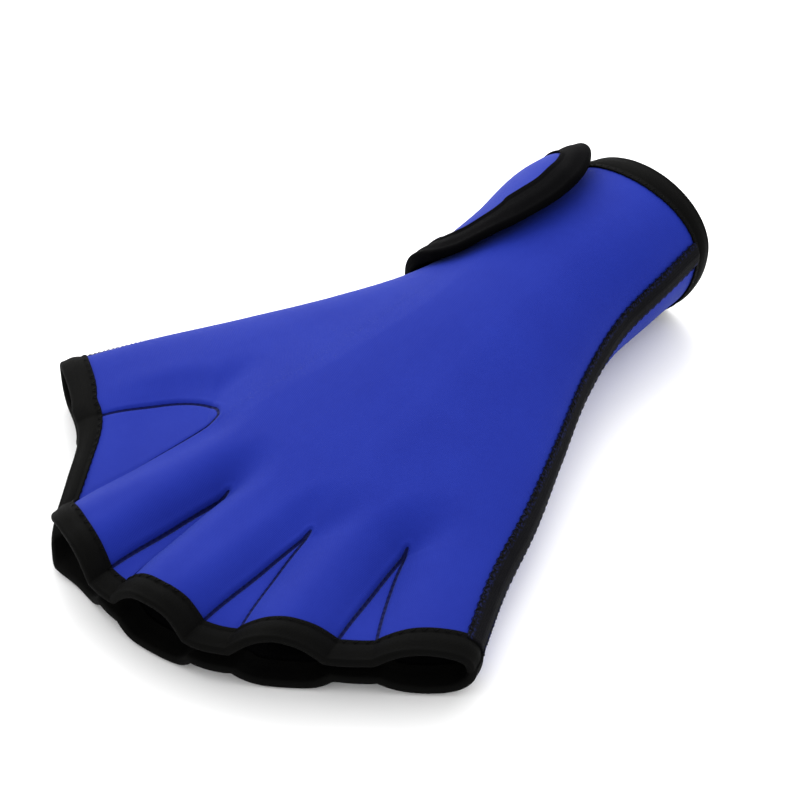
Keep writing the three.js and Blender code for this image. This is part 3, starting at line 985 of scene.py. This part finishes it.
def flap_height(angle, v):
    """Height of the flap's inner face over the glove. It rises from the seam, lies close at its
    front end and swells over the pad."""
    lifted = flap_rise + flap_bulge * ease(slit_start, 0.9, v)
    rise = mix(flap_rest, lifted, ease(flap_front, slit_start + slit_taper, v))
    return clearance + rise * ease(flap_seam, flap_rise_angle, angle)


def flap_edge(share):
    """Angle and v of the flap's outline at a share of the way round it, and the direction inward."""
    def place(t):
        return np.radians(read(flap_outline, "turn", "angle", t)), read(flap_outline, "turn", "along", t)
    _, per_radian, per_unit = frame_at(1, *place(share))
    (before_angle, before_along), (after_angle, after_along) = place(share - 0.01), place(share + 0.01)
    around = (after_angle - before_angle) * per_radian
    along = (after_along - before_along) * per_unit
    length = np.hypot(around, along)
    return (*place(share), -along / length / per_radian, around / length / per_unit)


def make_flap():
    """The flap as a wall of neoprene that thins toward its seam."""
    share = np.linspace(0, 1, 181)[:, None]
    t = np.linspace(0, 1, 61)[None, :]
    edge_angle, edge_along, _, _ = flap_edge(share)
    angle = mix(flap_seam, edge_angle, t)
    along = mix(mix(flap_seam_from, flap_seam_to, share), edge_along, t)
    base = flap_height(angle, along)
    flat = above(1, angle, along, base)
    outline = above(1, edge_angle, edge_along, flap_height(edge_angle, edge_along))[:, 0]
    away = np.min([np.linalg.norm(flat - point, axis=2) for point in outline], axis=0)
    thickness = mix(sewn_thickness, neoprene, ease(0, 0.12, t))
    thickness = np.minimum(thickness, bound_thickness(away - flap_inset))
    plain = above(1, angle, along, base + thickness)
    dents = flap_dents * unevenness(plain) * ease(8, 16, away)
    outer = above(1, angle, along, base + thickness + dents)
    inner = above(1, angle[every_second], along[every_second], base[every_second])
    piece = wall("closure_flap", outer, inner, [neoprene_blue, lining_black], arc_lengths(plain),
                 {"seam": np.full(angle.shape, 30.0), "run": np.zeros(angle.shape)})
    return finish_piece(piece, ["closure_flap"])


closure_flap = make_flap()


# %% Flap binding
flap_binding_width = 8.6
flap_knots = {"size": [0.45, 1.9, 0.8], "place": [0.62, 0.135, 0.04], "reach": [0.035, 0.075, 0.02]}


def flap_ring(inward, height):
    """Points of the binding along the flap's outline, from its seam round and back. Knots raise it
    by size * exp(-((share - place) / reach)^2)."""
    share = np.linspace(0, 1, 260)[:, None]
    edge_angle, edge_along, in_angle, in_along = flap_edge(share)
    angle = edge_angle + inward[None, :] * in_angle
    along = edge_along + inward[None, :] * in_along
    base = flap_height(angle, along) + bound_thickness(inward[None, :])
    points = above(1, angle, along, base + height[None, :])
    knots = sum(size * np.exp(-(((share - place) / reach) ** 2))
                for size, place, reach in zip(*flap_knots.values()))
    push = (lumps(points, 0.6) + knots) * ease(-bound_neoprene, 0, height[None, :])
    return above(1, angle, along, base + height[None, :] + push)


flap_in, flap_up = hairpin(flap_binding_width, strip_gap, thickness=0.9, puff=0.6)
make_binding("flap_binding", flap_ring(flap_in, flap_up), flap_in, flap_up, ["flap_binding"],
             flap_binding_black)

# %% [markdown]
# ## Hook pad
# The flap sticks to the back panel by a patch of hooks. Nobody sees it while the glove is closed, so
# it is one low pad with rounded edges, drawn on the wrist like the flap.

# %% Hook pad
pad_columns, pad_rows, pad_bevel = 25, 61, 0.4
pad_x = np.linspace(-1, 1, pad_columns)[None, :]
pad_y = np.linspace(-1, 1, pad_rows)[:, None]
pad_angle = np.radians(np.linspace(24, 47, pad_columns))[None, :]
pad_v = np.linspace(0.77, 0.93, pad_rows)[:, None]
pad_round = np.sqrt(np.minimum(1 - np.abs(pad_x) ** 8, 1 - np.abs(pad_y) ** 20))
pad_top = clearance + pad_bevel + (pad_thickness - pad_bevel) * pad_round
pad_outer = above(1, pad_angle, pad_v, pad_top, clearance / 2)
pad_inner = above(1, pad_angle[:, ::2], pad_v[::2], clearance, clearance / 2)
closure_pad = wall("closure_pad", pad_outer, pad_inner, [pad_black, pad_black], arc_lengths(pad_outer))
finish_piece(closure_pad, ["closure_pad"])

# %% [markdown]
# ## Stitches
# Zigzag stitches hold the bindings and tapes. Each is a short bent thread from the strip down to the
# neoprene. Copies of one thread would all bend alike, so all the threads of a seam are one mesh,
# worked out together as an array of small tubes that follow the cloth under them.


# %% Threads
thread_sides = 6


def threads(name, paths, ups, radius):
    """Small tubes along many short paths at once. A path has the same few points for every thread,
    and a hexagon of the radius, narrower at the ends, stands across it at each point."""
    count, rows = paths.shape[:2]
    tangent = unit(np.gradient(paths, axis=1))
    across = unit(np.cross(tangent, ups))
    up = np.cross(across, tangent)
    turn = np.arange(thread_sides) * 2 * math.pi / thread_sides
    taper = radius * np.sqrt(np.clip(1 - np.linspace(-1, 1, rows) ** 4, 0.15, 1))[None, :, None, None]
    ring = (np.cos(turn)[:, None] * across[:, :, None] + np.sin(turn)[:, None] * up[:, :, None]) * taper
    points = (paths[:, :, None] + ring).reshape(-1, 3)
    one = grid_quads(rows, thread_sides, wrap=True)
    quads = (one[None] + (np.arange(count) * rows * thread_sides)[:, None, None]).reshape(-1, 4)
    firsts, corner = np.arange(count)[:, None] * rows * thread_sides, np.arange(thread_sides)
    ends = [firsts + corner[::-1], firsts + (rows - 1) * thread_sides + corner]
    faces = [quads, np.concatenate(ends)]
    if signed_volume(points, quads) < 0:
        faces = [f[:, ::-1] for f in faces]
    uv = np.zeros((len(points), 2))
    uv[:, 1] = np.repeat(np.arange(count * rows), thread_sides) * 0.4
    finish_piece(make_mesh(name, points, faces, [thread_black], uv), [])


def along_line(line, pitch):
    """Fractional rows of a polyline at every pitch of its length."""
    length = travelled(line)
    places = np.arange(pitch, length[-1] - pitch, pitch)
    return np.interp(places, length, np.arange(len(line)))


def at_rows(grid, rows):
    """Points of a grid at fractional rows, by straight lines between its rows."""
    low = np.clip(np.floor(rows).astype(int), 0, len(grid) - 2)
    share = (rows - low)[:, None]
    return grid[low] * (1 - share) + grid[low + 1] * share


def zigzag(name, inner_line, edge_line, outer_line, ups, slot, pitch=1.7, radius=0.13):
    """Zigzag stitches between two lines that run beside an edge: each thread leans from one row of
    holes to the other and passes over the edge."""
    rows = along_line(edge_line, pitch)
    half = 0.5 * np.gradient(rows)
    lean = np.where(np.arange(len(rows)) % 2 == 0, 1, -1) * half
    start = at_rows(inner_line, np.clip(rows - lean, 0, len(edge_line) - 1.001))
    middle = at_rows(edge_line, rows)
    end = at_rows(outer_line, np.clip(rows + lean, 0, len(edge_line) - 1.001))
    up = unit(at_rows(ups, rows))
    raised = middle + up * radius / 2
    paths = np.stack([start - up * radius, mix(start, raised, 0.5) + up * radius / 2, raised,
                      mix(raised, end, 0.5) + up * radius / 2, end - up * radius], axis=1)
    threads(name, paths, np.broadcast_to(up[:, None], paths.shape), radius)


# %% Stitches along the bindings and tapes
# Steps from the strip's edge and heights over the cloth: on the strip, at its edge, on the cloth
binding_top = strip_gap + 0.75
binding_steps = ((-1.3, binding_top), (0.0, binding_top - 0.15), (0.45, 0.05))
tape_steps = ((-1.1, layer), (0.0, layer - 0.3), (0.35, 0.05))


def front_stitches(name, side, slot):
    """The zigzag along the front binding's inner edge on one panel."""
    angle = column_angles(side, band)[0]
    lines = [above(side, angle, front_share(angle, binding_width + step), height)
             for step, height in binding_steps]
    ups = frame_at(side, angle, front_share(angle, binding_width))[0]
    zigzag(name, *lines, ups, slot)


front_stitches("front_stitches_back", 1, "front_binding_back")
front_stitches("front_stitches_palm", -1, "front_binding_palm")


def tape_stitches(name, seam_angle, start, end, sign, slot):
    """The zigzag along one edge of a side tape."""
    v = np.linspace(start, end, 260)
    lines = []
    for step, height in tape_steps:
        distance = sign * (tape_width / 2 + step) + tape_middle(seam_angle, v)
        angle = angle_at_distance(1, seam_angle, v, distance)
        lines.append(above(1, angle, v, height))
    zigzag(name, *lines, frame_at(1, angle, v)[0], slot, pitch=1.6, radius=0.12)


for number, sign in ((1, -1), (2, 1)):
    tape_stitches(f"tape_stitches_little_{number}", math.pi, front_trim + 0.01, 0.965, sign,
                  "side_tape_little_finger")
    tape_stitches(f"tape_stitches_thumb_{number}", 0.0, front_trim + 0.01, flap_front - 0.035, sign,
                  "side_tape_thumb")


def cuff_stitches():
    """The zigzag along the cuff binding's inner edge, once round."""
    lines = []
    for step, height in binding_steps:
        v = 1 - (binding_width + step) / cuff_length
        side, angle = ring_stations(np.array([v]))
        lines.append(above(side, angle[0], v, height))
    zigzag("cuff_stitches", *lines, frame_at(side, angle[0], v)[0], "cuff_binding")


cuff_stitches()

# %% [markdown]
# ## Soft goods
# The cut each panel was sewn from isn't a rectangle, so the areas of the back's and the palm's outer
# faces are worked out
# # from a coarse grid and printed.


# %% Face areas
def surface_area(points):
    """Area of a grid of points in square metres, from the two triangles of each quad."""
    a, b, c, d = points[:-1, :-1], points[:-1, 1:], points[1:, 1:], points[1:, :-1]
    halves = [np.linalg.norm(np.cross(p - a, q - a), axis=2).sum() / 2 for p, q in ((b, c), (c, d))]
    return float(sum(halves)) * MM**2


few_v = np.linspace(0, 1, 101)[:, None]
few_angle = np.linspace(0, math.pi, 121)[None, :]
for side in (1, -1):
    print("face area:", round(surface_area(above(side, few_angle, few_v, 0.0)), 4), "square metres")

# %% [markdown]
# ## Floor, light and camera
# The picture is a soft studio shot on white: a big soft light from the thumb side, two smaller ones
# behind the wrist, a pale floor and a bright even sky that fills the shadows. A single strong lamp
# would draw hard edges that matt cloth doesn't show. The camera looks down over the fingers.

# %% Floor
floor_half = 3.0
floor_mesh = bpy.data.meshes.new("floor")
floor_mesh.from_pydata([(-floor_half, -floor_half, 0), (floor_half, -floor_half, 0),
                        (floor_half, floor_half, 0), (-floor_half, floor_half, 0)], [], [(0, 1, 2, 3)])
floor_finish = bpy.data.materials.new("white floor")
floor_finish.use_nodes = True
connect(floor_finish.node_tree, floor_finish.node_tree.nodes["Principled BSDF"], {
    "Base Color": (0.97, 0.97, 0.97, 1), "Roughness": 0.9, "Specular IOR Level": 0.1})
floor_mesh.materials.append(floor_finish)
add_object("floor", floor_mesh)
print("floor:", 2 * floor_half, "metres wide")

# %% Camera
camera_azimuth, camera_elevation = math.radians(43.56), math.radians(38.78)
camera_distance, camera_aim = 0.7105, np.array([-0.00568, 0.00977, 0.010])
sensor_width, focal_pixels, picture_pixels = 36.0, 2156.3, 800
back = np.array([math.sin(camera_azimuth) * math.cos(camera_elevation),
                 -math.cos(camera_azimuth) * math.cos(camera_elevation), math.sin(camera_elevation)])
right = np.array([math.cos(camera_azimuth), math.sin(camera_azimuth), 0.0])
camera_data = bpy.data.cameras.new("camera")
camera_data.sensor_width = sensor_width
camera_data.lens = focal_pixels * sensor_width / picture_pixels
camera = add_object("camera", camera_data)
turn = np.eye(4)
turn[:3, 0], turn[:3, 1], turn[:3, 2] = right, np.cross(back, right), back
turn[:3, 3] = camera_aim + camera_distance * back
camera.matrix_world = Matrix(turn.tolist())
bpy.context.scene.camera = camera
print("lens:", round(camera_data.lens, 1), "mm")


# %% Lights
def area_light(name, place, target, size, power):
    """A square area light at a place, turned to a target, in metres and watts."""
    data = bpy.data.lights.new(name, "AREA")
    data.size, data.energy = size, power
    light = add_object(name, data)
    light.location = place
    direction = Vector(target) - Vector(place)
    light.rotation_euler = direction.to_track_quat("-Z", "Y").to_euler()
    print(f"{name}: {power} watts, {direction.length:.2f} metres away")


area_light("side box", (-0.8, 0.22, 0.45), (0, 0.0, 0.02), 0.9, 4.8)
area_light("key", (-0.3, 0.3, 0.45), (0, 0.04, 0.02), 0.5, 2.0)
area_light("back", (0.0, 0.6, 0.6), (0, 0.08, 0.02), 0.6, 1.2)
world = bpy.data.worlds.new("studio")
world.use_nodes = True
connect(world.node_tree, world.node_tree.nodes["Background"], {"Color": (1, 1, 1, 1), "Strength": 1.3})
bpy.context.scene.world = world
bpy.context.scene.view_settings.view_transform = "Standard"
